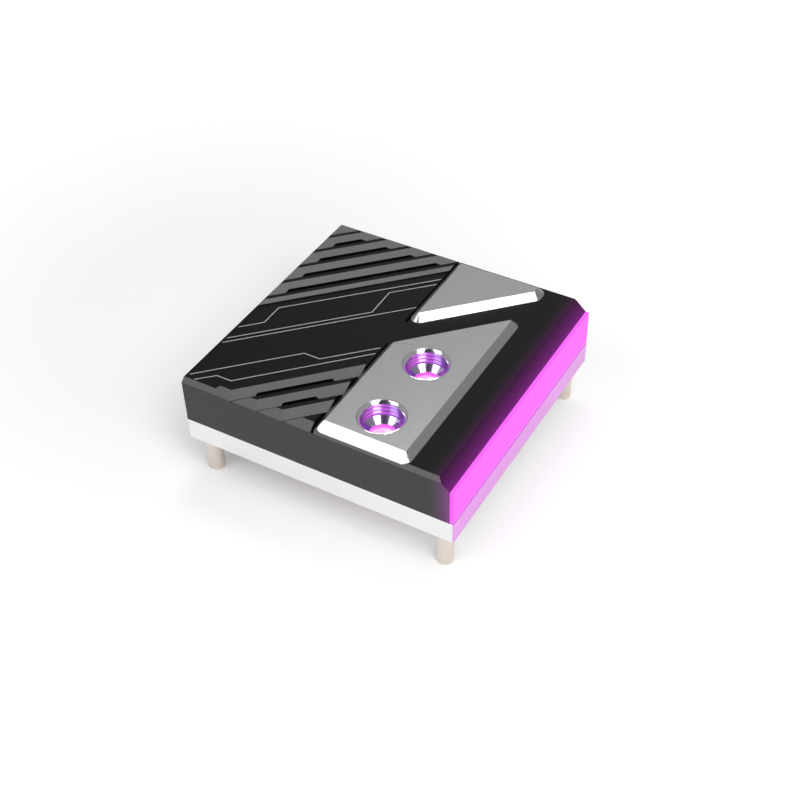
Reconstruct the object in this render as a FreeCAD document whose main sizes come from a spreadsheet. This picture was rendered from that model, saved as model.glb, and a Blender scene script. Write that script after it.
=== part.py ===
import FreeCAD, Part
import os
import Sketcher

# Square processor cooling block with a louvred cover, two threaded ports,
# a lit edge strip and four mounting standoffs.  Millimetres, +Z up, origin at
# the centre of the plane the four standoffs stand on.  +X points to the light
# strip and -Y to the front.  Plan sizes whose names end in _x or _y are
# measured from the block's left and front faces.

os.makedirs("parts", exist_ok=True)
doc = FreeCAD.newDocument("cooling_block")
V = FreeCAD.Vector

# ------------------------------------------------------------------ sizes
SIZES = [
    ("leg_height", 12.8), ("leg_pitch", 78.0), ("leg_radius", 2.57),
    ("stud_radius", 2.0), ("stud_length", 4.0),
    ("foot_tap_radius", 1.25), ("foot_tap_depth", 8.0),
    ("frame_thickness", 7.0), ("block_width", 87.6), ("block_depth", 86.6),
    ("strip_proud", 1.2), ("field_rise", 15.3), ("louvre_rise", 0.7),
    ("plate_rise", 2.1), ("plate_seat_depth", 1.2), ("fit_gap", 0.05),
    ("front_face_rise", 14.2), ("edge_bevel_run", 2.0),
    ("rear_bevel_run", 0.8), ("left_bevel_run", 0.8),
    ("side_chamfer_run", 3.7), ("side_chamfer_drop", 3.4),
    ("strip_gap", 0.4), ("strip_thickness", 3.2),
    ("cavity_rise", 11.0), ("cavity_side_wall", 12.6),
    ("cavity_front_wall", 2.8), ("cavity_rear_wall", 12.1),
    # louvres: offsets are y minus x along the plan diagonal
    ("corner_crest_inset", 1.1), ("corner_rib_run", 5.75),
    ("upper_crest_inset", 10.05), ("upper_pitch", 9.04),
    ("upper_rib_run", 5.75), ("last_rib_run", 2.0),
    ("lower_crest_inset", 29.8), ("lower_pitch", 8.75),
    ("lower_rib_run", 4.8),
    ("louvre_end_gap", 0.8), ("rim_depth", 3.0), ("rim_length", 32.6),
    ("rim_step", 1.9),
    ("slot_width", 1.7), ("slot_depth", 0.9), ("slot_start_x", 4.04),
    ("slot_end_inset", 4.1),
    ("lower_slot_1_inset", 20.9), ("lower_slot_1_y", 21.0),
    ("lower_slot_2_inset", 12.3), ("lower_slot_2_y", 12.3),
    ("saw_cut_width", 0.7), ("saw_cut_drop", 0.3),
    ("trench_gap", 0.65), ("trench_overlap", 0.3), ("trench_depth", 1.2),
    # raised plates
    ("plate_right_inset", 13.9), ("accent_plate_width", 30.3),
    ("plate_bevel", 2.1), ("plate_corner", 2.4),
    ("port_plate_front_y", 0.63), ("port_plate_width", 29.7),
    ("port_plate_peak_y", 71.4), ("front_bevel_extra", 0.35),
    ("accent_side_length", 5.2), ("accent_back_inset", 0.7),
    # ports
    ("port_right_inset", 28.45), ("port_front_y", 11.9), ("port_pitch", 25.0),
    ("port_hole_radius", 7.0), ("collar_radius", 6.95),
    ("mouth_radius", 6.8), ("thread_radius", 5.72),
    ("thread_length", 9.0), ("port_bore_radius", 4.9),
    ("flange_radius", 8.6), ("flange_thickness", 2.0),
    ("port_seal_depth", 1.2), ("port_seal_width", 1.4),
    # cold plate and its flow parts
    ("pad_width", 46.0), ("pad_drop", 1.4),
    ("flange_height", 3.4), ("flange_margin", 1.6),
    ("window_gap", 0.1),
    ("recess_width", 38.0), ("recess_depth", 1.4),
    ("fin_length", 34.0), ("fin_depth", 3.0), ("fin_slot", 0.6),
    ("fin_pitch", 1.2), ("fin_slots", 28.0),
    ("seal_loop_width", 44.0), ("seal_width", 1.8), ("seal_depth", 1.4),
    ("jet_plate_depth_y", 29.0), ("jet_plate_thickness", 0.8),
    ("jet_slot_width", 1.6), ("jet_slot_length", 30.0),
    ("jet_frame_width", 5.0),
    ("flow_side_gap", 0.6), ("flow_rear_gap", 0.6),
    ("flow_front_gap", 0.3), ("chamber_height", 3.0),
    ("inlet_chamber_y", 12.0), ("cross_bore_radius", 2.6),
    ("cross_bore_rise", 4.2), ("side_chamber_width", 3.0),
    ("plug_radius", 3.4), ("plug_length", 5.0),
    # lighting
    ("led_board_thickness", 1.6), ("led_board_height", 8.0),
    ("led_board_front_y", 4.3), ("led_board_back_inset", 6.6),
    ("lamp_slot_gap", 0.6),
    ("led_end_margin", 3.75), ("led_count", 12.0),
    ("led_size", 3.0), ("led_height", 0.9),
    ("lamp_slot_inset", 7.2), ("lamp_slot_top", 10.4),
    ("socket_width", 4.6), ("socket_height", 4.0), ("socket_length", 6.3),
    ("socket_wall", 0.6),
    # fasteners
    ("m3_radius", 1.45), ("m3_head_radius", 2.6), ("m3_head_height", 1.5),
    ("m2_radius", 0.95), ("m2_head_radius", 1.8), ("m2_head_height", 0.9),
    ("cover_screw_left_x", 6.6), ("cover_screw_right_inset", 10.0),
    ("cover_screw_pitch", 26.0), ("cover_screw_bite", 6.0),
    ("flange_screw_edge", 4.45), ("flange_screw_bite", 5.0),
    ("plate_screw_bite", 2.2), ("plate_screw_reach", 10.4),
    ("accent_screw_x", 5.0), ("accent_screw_step", 6.2),
    ("accent_screw_inset", 20.3), ("screw_end_gap", 0.4),
]

sheet = doc.addObject("Spreadsheet::Sheet", "Sizes")
for row, (alias, number) in enumerate(SIZES, 1):
    sheet.set("A%d" % row, alias)
    sheet.set("B%d" % row, str(number))
    sheet.setAlias("B%d" % row, alias)
doc.recompute()


def size(alias):
    """The number held under one name of the sheet."""
    return float(getattr(sheet, alias))


# sizes that follow from others, so that pieces which meet stay together
FOLLOWING = {
    "cover_width": "({block_width} - {strip_proud})",
    "cavity_back_y": "({block_depth} - {cavity_rear_wall})",
    "upper_crest_first": "({block_depth} - {upper_crest_inset})",
    "upper_crest_last": "({upper_crest_first} - {upper_pitch} * 4)",
    "corner_rib_crest": "({block_depth} - {corner_crest_inset})",
    "corner_rib_toe": "({corner_rib_crest} - {corner_rib_run})",
    "slot_end_y": "({block_depth} - {slot_end_inset})",
    "port_plate_right_x": "({block_width} - {plate_right_inset})",
    "plate_left_x": "({port_plate_right_x} - {port_plate_width})",
    "accent_left_x": "({port_plate_right_x} - {accent_plate_width})",
    "accent_back_y": "({block_depth} - {accent_back_inset})",
    # y minus x along the plates' slanting edges
    "port_plate_edge": "({port_plate_peak_y} - {port_plate_right_x})",
    "accent_edge": "({accent_back_y} - {accent_side_length}"
                   " - {port_plate_right_x})",
    "port_x": "({block_width} - {port_right_inset})",
    "louvre_end_x": "({plate_left_x} - {louvre_end_gap})",
    "rim_start_x": "({louvre_end_x} - {rim_length})",
    "lower_crest_first": "({lower_crest_inset} - {louvre_end_x})",
    "lower_slot_1_x": "({louvre_end_x} - {lower_slot_1_inset})",
    "lower_slot_2_x": "({louvre_end_x} - {lower_slot_2_inset})",
    "cavity_half_width": "({block_width} / 2 - {cavity_side_wall})",
    "flow_half_width": "({cavity_half_width} - {flow_side_gap})",
    "flange_half_x": "({flow_half_width} - {flange_margin})",
    "flange_screw_x": "({flow_half_width} - {flange_screw_edge})",
    "flow_back_y": "({cavity_back_y} - {flow_rear_gap})",
    "flow_reach_y": "({flow_back_y} - {block_depth} / 2)",
    "flange_half_y": "({flow_reach_y} - {flange_margin})",
    "flange_screw_y": "({flow_reach_y} - {flange_screw_edge})",
    "led_board_back_y": "({block_depth} - {led_board_back_inset})",
    "led_pitch": "(({led_board_back_y} - {led_board_front_y}"
                 " - {led_end_margin} * 2) / ({led_count} - 1))",
    "lamp_slot_x": "({block_width} - {lamp_slot_inset})",
    "cover_screw_right_x": "({block_width} - {cover_screw_right_inset})",
}


class Names(dict):
    """Turns short words into sheet references for expressions."""

    def __missing__(self, key):
        if key in FOLLOWING:
            return FOLLOWING[key].format_map(self)
        return "Sizes." + key


def ex(text):
    """Fill a template such as '{leg_pitch} / 2' with sheet references.
    A template that starts with a space carries on another expression."""
    filled = text.format_map(Names())
    if text.startswith(" "):
        return filled
    return "(" + filled + ")"


def at_x(text):
    """Distance from the block's left face turned into a frame X."""
    return ex("(" + text + ") - {block_width} / 2")


def at_y(text):
    """Distance from the block's front face turned into a frame Y."""
    return ex("(" + text + ") - {block_depth} / 2")


FRAME_Z = ex("{leg_height}")
COVER_Z = ex("({leg_height} + {frame_thickness})")
FIELD_Z = "(" + COVER_Z + ex(" + {field_rise})")
CREST_Z = "(" + FIELD_Z + ex(" + {louvre_rise})")
PLATE_Z = "(" + FIELD_Z + ex(" + {plate_rise})")
SEAT_Z = "(" + FIELD_Z + ex(" - {plate_seat_depth})")
CEILING_Z = "(" + COVER_Z + ex(" + {cavity_rise})")

EXPORT = []


# ------------------------------------------------------------------ helpers
def new_body(label):
    body = doc.addObject("PartDesign::Body", label)
    body.Label = label
    EXPORT.append((label, body))
    return body


def plane_of(body, role):
    for feature in body.Origin.OriginFeatures:
        if feature.Role == role:
            return feature
    raise ValueError(role)


def new_sketch(body, name, role="XY_Plane", level=None, turn=None):
    """A sketch on an origin plane, lifted by an expression if one is given."""
    sketch = body.newObject("Sketcher::SketchObject", body.Name + "_" + name)
    sketch.AttachmentSupport = [(plane_of(body, role), "")]
    sketch.MapMode = "FlatFace"
    if turn is not None:
        spin = FreeCAD.Rotation(V(0, 1, 0), turn)
        sketch.AttachmentOffset = FreeCAD.Placement(V(0, 0, 0), spin)
    if level is not None:
        sketch.setExpression("AttachmentOffset.Base.z", level)
    return sketch


def hold_point(sketch, geo, point, x, y):
    """Fix one point of a sketch at a pair of expressions."""
    for kind, text in (("DistanceX", x), ("DistanceY", y)):
        index = sketch.addConstraint(
            Sketcher.Constraint(kind, -1, 1, geo, point, 1.0))
        sketch.setExpression("Constraints[%d]" % index, text)


def add_polygon(sketch, corners):
    """A closed outline with every corner held by expressions."""
    start = sketch.GeometryCount
    spots = [(number(x), number(y)) for x, y in corners]
    count = len(spots)
    for i in range(count):
        a = spots[i]
        b = spots[(i + 1) % count]
        sketch.addGeometry(Part.LineSegment(V(a[0], a[1], 0), V(b[0], b[1], 0)))
    for i in range(count):
        after = start + (i + 1) % count
        sketch.addConstraint(
            Sketcher.Constraint("Coincident", start + i, 2, after, 1))
    for i in range(count):
        hold_point(sketch, start + i, 1, *corners[i])


def add_rectangle(sketch, x0, y0, x1, y1):
    add_polygon(sketch, [(x0, y0), (x1, y0), (x1, y1), (x0, y1)])


def add_circle(sketch, x, y, radius):
    geo = sketch.addGeometry(
        Part.Circle(V(number(x), number(y), 0), V(0, 0, 1), number(radius)))
    hold_point(sketch, geo, 3, x, y)
    index = sketch.addConstraint(Sketcher.Constraint("Radius", geo, 1.0))
    sketch.setExpression("Constraints[%d]" % index, radius)


def number(text):
    """Evaluate an expression made of sheet names and plain arithmetic."""
    return sheet.evalExpression(text)


def feature(body, kind, name, sketch, length, flip=False, both=False):
    item = body.newObject("PartDesign::" + kind, body.Name + "_" + name)
    item.Profile = sketch
    if both:
        item.SideType = "Symmetric"
    if length is None:
        item.Type = "ThroughAll"
    else:
        item.setExpression("Length", length)
    item.Reversed = flip
    sketch.Visibility = False
    return item


def pad(body, name, draw, level, length, flip=False):
    sketch = new_sketch(body, name + "_sketch", "XY_Plane", level)
    draw(sketch)
    return feature(body, "Pad", name, sketch, length, flip)


def cut_down(body, name, draw, level, length):
    """Pocket running down from a level."""
    sketch = new_sketch(body, name + "_sketch", "XY_Plane", level)
    draw(sketch)
    return feature(body, "Pocket", name, sketch, length, False)


def cut_up(body, name, draw, level, length):
    """Pocket running up from a level."""
    sketch = new_sketch(body, name + "_sketch", "XY_Plane", level)
    draw(sketch)
    return feature(body, "Pocket", name, sketch, length, True)


def box_of(half_x, half_y):
    """Draw a rectangle centred on the origin from two half widths."""
    def draw(sketch):
        add_rectangle(sketch, "-(" + half_x + ")", "-(" + half_y + ")",
                      half_x, half_y)
    return draw


def rect_of(x0, y0, x1, y1):
    def draw(sketch):
        add_rectangle(sketch, x0, y0, x1, y1)
    return draw


def circles_of(spots, radius):
    def draw(sketch):
        for x, y in spots:
            add_circle(sketch, x, y, radius)
    return draw


def edges_at(shape, test):
    names = []
    for index, edge in enumerate(shape.Edges, 1):
        if test(edge):
            names.append("Edge%d" % index)
    return names


def dress(body, kind, name, base, names, text):
    item = body.newObject("PartDesign::" + kind, body.Name + "_" + name)
    item.Base = (base, names)
    item.setExpression("Size" if kind == "Chamfer" else "Radius", text)
    return item


# ------------------------------------------------------------------ places
HALF_W = ex("{block_width} / 2")
HALF_D = ex("{block_depth} / 2")
LEG = ex("{leg_pitch} / 2")
LEG_SPOTS = {
    "front_left": ("-" + LEG, "-" + LEG),
    "front_right": (LEG, "-" + LEG),
    "rear_left": ("-" + LEG, LEG),
    "rear_right": (LEG, LEG),
}
PORT_X = at_x("{port_x}")
PORT_SPOTS = {
    "inlet": (PORT_X, at_y("{port_front_y} + {port_pitch}")),
    "outlet": (PORT_X, at_y("{port_front_y}")),
}
SCREW_S = ex("{cover_screw_pitch}")
COVER_SCREWS = []
for column in ("{cover_screw_left_x}", "{cover_screw_right_x}"):
    for step in ("-" + SCREW_S, SCREW_S):
        COVER_SCREWS.append((at_x(column), step))
SCREW_X = ex("{flange_screw_x}")
SCREW_Y = ex("{flange_screw_y}")
FLANGE_SCREWS = [
    ("-" + SCREW_X, "-" + SCREW_Y), (SCREW_X, "-" + SCREW_Y),
    ("-" + SCREW_X, SCREW_Y), (SCREW_X, SCREW_Y),
]
# screws that hold the two raised plates, from the left and front faces
MIDWAY = at_y("{port_front_y} + {port_pitch} / 2")
PORT_PLATE_SCREWS = [
    (at_x("{port_x} - {plate_screw_reach}"), MIDWAY),
    (at_x("{port_x} + {plate_screw_reach}"), MIDWAY),
]
ACCENT_SCREWS = [
    (at_x("{accent_left_x} + {accent_screw_x}"),
     at_y("{block_depth} - {accent_screw_inset}")),
    (at_x("{accent_left_x} + {accent_screw_x} + {accent_screw_step}"),
     at_y("{block_depth} - {accent_screw_inset} + {accent_screw_step}")),
]


# ------------------------------------------------------------------ frame
def build_mounting_frame():
    body = new_body("mounting_frame")
    pad(body, "plate", box_of(HALF_W, HALF_D), FRAME_Z,
        ex("{frame_thickness}"))
    half = ex("{pad_width} / 2 + {window_gap}")
    cut_down(body, "window", box_of(half, half), COVER_Z, None)
    cut_down(body, "ledge", box_of(
        ex("{flange_half_x} + {window_gap}"),
        ex("{flange_half_y} + {window_gap}")), COVER_Z,
             ex("{flange_height}"))
    cut_up(body, "stud_holes",
           circles_of(LEG_SPOTS.values(), ex("{stud_radius} + {fit_gap}")),
           FRAME_Z, ex("{stud_length} + {fit_gap}"))
    spots = COVER_SCREWS + FLANGE_SCREWS
    cut_up(body, "screw_holes",
           circles_of(spots, ex("{m3_radius} + {fit_gap}")),
           FRAME_Z, ex("{frame_thickness}"))
    cut_up(body, "screw_heads",
           circles_of(spots, ex("{m3_head_radius} + {fit_gap}")),
           FRAME_Z, ex("{m3_head_height}"))
    return body


def build_standoff(place, spot):
    body = new_body("standoff_" + place)
    pad(body, "barrel", circles_of([spot], ex("{leg_radius}")),
        ex("0 * {leg_height}"), ex("{leg_height}"))
    pad(body, "stud", circles_of([spot], ex("{stud_radius}")),
        FRAME_Z, ex("{stud_length}"))
    cut_up(body, "foot_hole", circles_of([spot], ex("{foot_tap_radius}")),
           ex("0 * {leg_height}"), ex("{foot_tap_depth}"))
    return body


# ------------------------------------------------------------------ cold plate
RECESS_Z = "(" + COVER_Z + ex(" - {recess_depth})")


def ring_of(loop, width):
    """Draw a square ring: outer and inner outline about a centre loop."""
    def draw(sketch):
        outer = ex(loop + " / 2 + " + width + " / 2")
        inner = ex(loop + " / 2 - " + width + " / 2")
        add_rectangle(sketch, "-(" + outer + ")", "-(" + outer + ")",
                      outer, outer)
        add_rectangle(sketch, "-(" + inner + ")", "-(" + inner + ")",
                      inner, inner)
    return draw


def build_cold_plate():
    body = new_body("cold_plate")
    half = ex("{pad_width} / 2")
    low = FRAME_Z + ex(" - {pad_drop}")
    rise = ex("{pad_drop} + {frame_thickness}")
    pad(body, "pad", box_of(half, half), low, rise)
    pad(body, "flange",
        box_of(ex("{flange_half_x}"), ex("{flange_half_y}")),
        COVER_Z + ex(" - {flange_height}"), ex("{flange_height}"))
    half = ex("{recess_width} / 2")
    cut_down(body, "recess", box_of(half, half), COVER_Z,
             ex("{recess_depth}"))
    cut_down(body, "seal_groove", ring_of("{seal_loop_width}", "{seal_width}"),
             COVER_Z, ex("{seal_depth}"))
    cut_down(body, "screw_holes",
             circles_of(FLANGE_SCREWS, ex("{m3_radius} + {fit_gap}")),
             COVER_Z, ex("{flange_height}"))
    first = ex("-{fin_pitch} * ({fin_slots} - 1) / 2")
    half_slot = ex("{fin_slot} / 2")
    half_long = ex("{fin_length} / 2")
    slot = cut_down(
        body, "fin_gap",
        rect_of(first + " - " + half_slot, "-(" + half_long + ")",
                first + " + " + half_slot, half_long),
        RECESS_Z, ex("{fin_depth}"))
    body.Tip = slot
    doc.recompute()
    row = body.newObject("PartDesign::LinearPattern", "cold_plate_fin_row")
    row.Originals = [slot]
    row.Direction = (slot.Profile[0], ["H_Axis"])
    row.Occurrences = int(size("fin_slots"))
    row.setExpression("Length", ex("{fin_pitch} * ({fin_slots} - 1)"))
    row.setExpression("Occurrences", ex("{fin_slots}"))
    body.Tip = row
    return body


def build_cold_plate_seal():
    body = new_body("cold_plate_seal")
    pad(body, "loop",
        ring_of("{seal_loop_width}", "({seal_width} - 2 * {fit_gap})"),
        COVER_Z + ex(" - {seal_depth}"), ex("{seal_depth}"))
    return body


def build_jet_plate():
    body = new_body("jet_plate")
    half_x = ex("{recess_width} / 2 - {fit_gap}")
    half_y = ex("{jet_plate_depth_y} / 2")
    pad(body, "sheet", box_of(half_x, half_y), RECESS_Z,
        ex("{jet_plate_thickness}"))
    cut_up(body, "slot",
           box_of(ex("{jet_slot_length} / 2"), ex("{jet_slot_width} / 2")),
           RECESS_Z, ex("{jet_plate_thickness}"))
    return body


def build_jet_gasket():
    body = new_body("jet_gasket")
    half_x = ex("{recess_width} / 2 - {fit_gap}")
    half_y = ex("{jet_plate_depth_y} / 2")
    low = RECESS_Z + ex(" + {jet_plate_thickness}")
    rise = ex("{recess_depth} - {jet_plate_thickness}")
    pad(body, "sheet", box_of(half_x, half_y), low, rise)
    cut_up(body, "opening",
           box_of(half_x + ex(" - {jet_frame_width} / 2"),
                  half_y + ex(" - {jet_frame_width} / 2")),
           low, rise)
    return body


# ------------------------------------------------------------------ flow body
FLANGE_Z = "(" + CEILING_Z + ex(" - {flange_thickness})")


def build_flow_body():
    body = new_body("flow_body")
    half = ex("{flow_half_width}")
    front = at_y("{cavity_front_wall} + {flow_front_gap}")
    back = at_y("{flow_back_y}")
    pad(body, "block", rect_of("-" + half, front, half, back), COVER_Z,
        ex("{cavity_rise}"))
    # chamber over the jet slot, fed straight down by the inlet
    side = ex("{recess_width} / 2 - {jet_frame_width} / 2")
    near = ex("{inlet_chamber_y}")
    cut_up(body, "inlet_chamber", box_of(side, near), COVER_Z,
           ex("{chamber_height}"))
    # collecting chambers over both fin ends, joined along the left side
    full = ex("{recess_width} / 2")
    fin_end = ex("({recess_width} / 2 - {side_chamber_width})")
    tall = ex("{cross_bore_rise} + {cross_bore_radius}")
    cut_up(body, "front_chamber",
           rect_of("-" + full, "-" + full, full, "-" + fin_end),
           COVER_Z, tall)
    cut_up(body, "rear_chamber",
           rect_of("-" + full, fin_end, full, full), COVER_Z, tall)
    link = ex("({recess_width} / 2 + {side_chamber_width})")
    rise = COVER_Z + ex(" + {chamber_height} + 1.0")
    cut_up(body, "side_passage",
           rect_of("-" + link, "-" + full, "-" + fin_end, full),
           rise, ex("{side_chamber_width}"))
    # port seats, bores and the cross bore to the outlet
    spots = list(PORT_SPOTS.values())
    cut_down(body, "port_seats",
             circles_of(spots, ex("{flange_radius} + {fit_gap}")),
             CEILING_Z, ex("{flange_thickness} + {port_seal_depth}"))
    cut_down(body, "inlet_bore",
             circles_of([PORT_SPOTS["inlet"]], ex("{port_bore_radius}")),
             CEILING_Z, ex("{cavity_rise}"))
    cut_down(body, "outlet_bore",
             circles_of([PORT_SPOTS["outlet"]], ex("{port_bore_radius}")),
             CEILING_Z, ex("{cavity_rise} - {chamber_height} / 2"))
    bore = new_sketch(body, "cross_bore_sketch", "XZ_Plane",
                      "-(" + front + ")")
    add_circle(bore, PORT_X, COVER_Z + ex(" + {cross_bore_rise}"),
               ex("{cross_bore_radius}"))
    feature(body, "Pocket", "cross_bore", bore,
            "-(" + front + ")" + " - " + fin_end)
    seat = new_sketch(body, "plug_seat_sketch", "XZ_Plane",
                      "-(" + front + ")")
    add_circle(seat, PORT_X, COVER_Z + ex(" + {cross_bore_rise}"),
               ex("{plug_radius} + {fit_gap}"))
    feature(body, "Pocket", "plug_seat", seat, ex("{plug_length}"))
    # tapped holes for the screws that clamp the cold plate
    cut_up(body, "screw_holes",
           circles_of(FLANGE_SCREWS, ex("{m3_radius} + {fit_gap}")),
           COVER_Z, ex("{flange_screw_bite}"))
    return body


def build_flow_plug():
    body = new_body("flow_plug")
    front = at_y("{cavity_front_wall} + {flow_front_gap}")
    sketch = new_sketch(body, "plug_sketch", "XZ_Plane",
                        "-(" + front + ")")
    add_circle(sketch, PORT_X, COVER_Z + ex(" + {cross_bore_rise}"),
               ex("{plug_radius}"))
    feature(body, "Pad", "plug", sketch,
            ex("{plug_length} - {fit_gap}"), True)
    return body


# ------------------------------------------------------------------ ports
def build_port(name, spot):
    """Turned insert: flange under the cover, collar up to the plate top."""
    body = new_body(name)
    sketch = new_sketch(body, "profile", "XZ_Plane", "-(" + spot[1] + ")")
    top = PLATE_Z
    low = FLANGE_Z
    gap = ex("({mouth_radius} - {thread_radius})")
    bore_top = "(" + top + " - " + gap + ex(" - {thread_length})")
    rows = [
        ("{port_bore_radius}", low),
        ("{flange_radius}", low),
        ("{flange_radius}", CEILING_Z),
        ("{collar_radius}", CEILING_Z),
        ("{collar_radius}", top),
        ("{mouth_radius}", top),
        ("{thread_radius}", "(" + top + " - " + gap + ")"),
        ("{thread_radius}", "(" + low + ex(" + {port_seal_depth} / 2)")),
    ]
    rows.append(("{port_bore_radius}", rows[-1][1]))
    corners = [(spot[0] + " + " + ex(r), z) for r, z in rows]
    add_polygon(sketch, corners)
    # axis of the insert as a construction line
    axis = sketch.addGeometry(Part.LineSegment(
        V(number(spot[0]), 0, 0),
        V(number(spot[0]), size("block_width"), 0)), True)
    sketch.addConstraint(Sketcher.Constraint("Vertical", axis))
    index = sketch.addConstraint(
        Sketcher.Constraint("DistanceX", -1, 1, axis, 1, 1.0))
    sketch.setExpression("Constraints[%d]" % index, spot[0])
    item = body.newObject("PartDesign::Revolution", name + "_turning")
    item.Profile = sketch
    item.ReferenceAxis = (sketch, ["Axis0"])
    item.Angle = 360.0
    return body


def build_port_seal(name, spot):
    body = new_body(name)
    low = FLANGE_Z + ex(" - {port_seal_depth}")
    outer = ex("{flange_radius}")
    pad(body, "ring", circles_of([spot], outer), low,
        ex("{port_seal_depth}"))
    cut_up(body, "bore", circles_of([spot], ex(
        "{flange_radius} - {port_seal_width}")), low,
        ex("{port_seal_depth}"))
    return body


# ------------------------------------------------------------------ cover
SOCKET_X = at_x("{lamp_slot_x} - 0.6")
DIAG = "sqrt(2)"


def across(offset):
    """Plan offset y minus x, from the block corner, turned into a distance
    across the louvres in frame coordinates."""
    shift = ex("({block_width} - {block_depth}) / 2")
    return "((" + ex(offset) + ") + " + shift + ") / " + DIAG


def louvre_cut(body, name, corners, reach):
    """Cut along the plan diagonal with a section drawn across it."""
    sketch = new_sketch(body, name + "_sketch", "XZ_Plane", None, 135.0)
    add_polygon(sketch, corners)
    return feature(body, "Pocket", name, sketch, reach, False, True)


def port_plate_corners(grow):
    left = at_x("{plate_left_x} - " + grow)
    right = at_x("{port_plate_right_x} + " + grow)
    front = at_y("{port_plate_front_y} - " + grow)
    slant = "{port_plate_edge} + " + grow + " * 1.4142"
    return [
        (left, front), (right, front),
        (right, at_y("{port_plate_right_x} + " + grow + " + " + slant)),
        (left, at_y("{plate_left_x} - " + grow + " + " + slant)),
    ]


def accent_plate_corners(grow):
    left = at_x("{accent_left_x} - " + grow)
    right = at_x("{port_plate_right_x} + " + grow)
    back = at_y("{accent_back_y} + " + grow)
    slant = "({accent_edge} - " + grow + " * 1.4142)"
    return [
        (left, at_y("{accent_left_x} - " + grow + " + " + slant)),
        (right, at_y("{port_plate_right_x} + " + grow + " + " + slant)),
        (right, back), (left, back),
    ]


def polygon_of(corners):
    def draw(sketch):
        add_polygon(sketch, corners)
    return draw


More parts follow.
